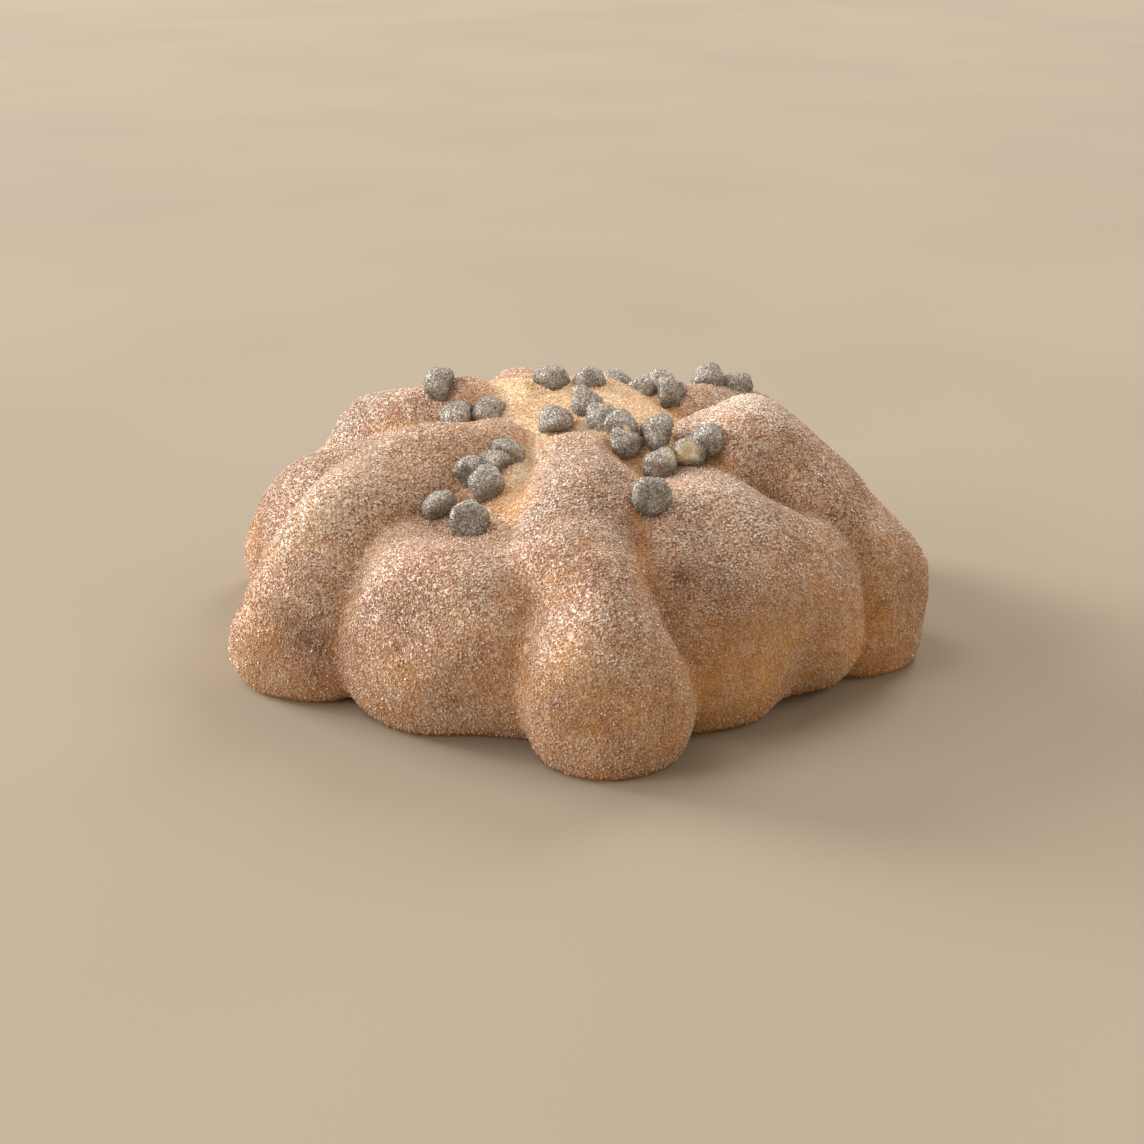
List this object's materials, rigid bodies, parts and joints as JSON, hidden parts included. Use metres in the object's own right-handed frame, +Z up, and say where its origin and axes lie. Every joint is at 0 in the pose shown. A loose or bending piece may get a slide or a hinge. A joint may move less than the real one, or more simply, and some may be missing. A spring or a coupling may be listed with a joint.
{
  "type": "pan de muerto",
  "caption": "Low round sweet loaf with dough bones running from crown to foot and chocolate chips in the hollows, baked in one piece and coated in sugar.",
  "frame": {"origin": "middle of the flat underside, at the bottom centre of the loaf's box", "axes": "+Z is up from the board, and the widest front bone points along -Y"},
  "size_m": [0.1288, 0.1282, 0.047],
  "materials": {
    "crust": "baked crust under granulated sugar",
    "chocolate": "matt dark chocolate",
    "sugar": "sparkling granulated sugar"
  },
  "bodies": {
    "root": {"loaf": "crust"}
  },
  "joints": []
}
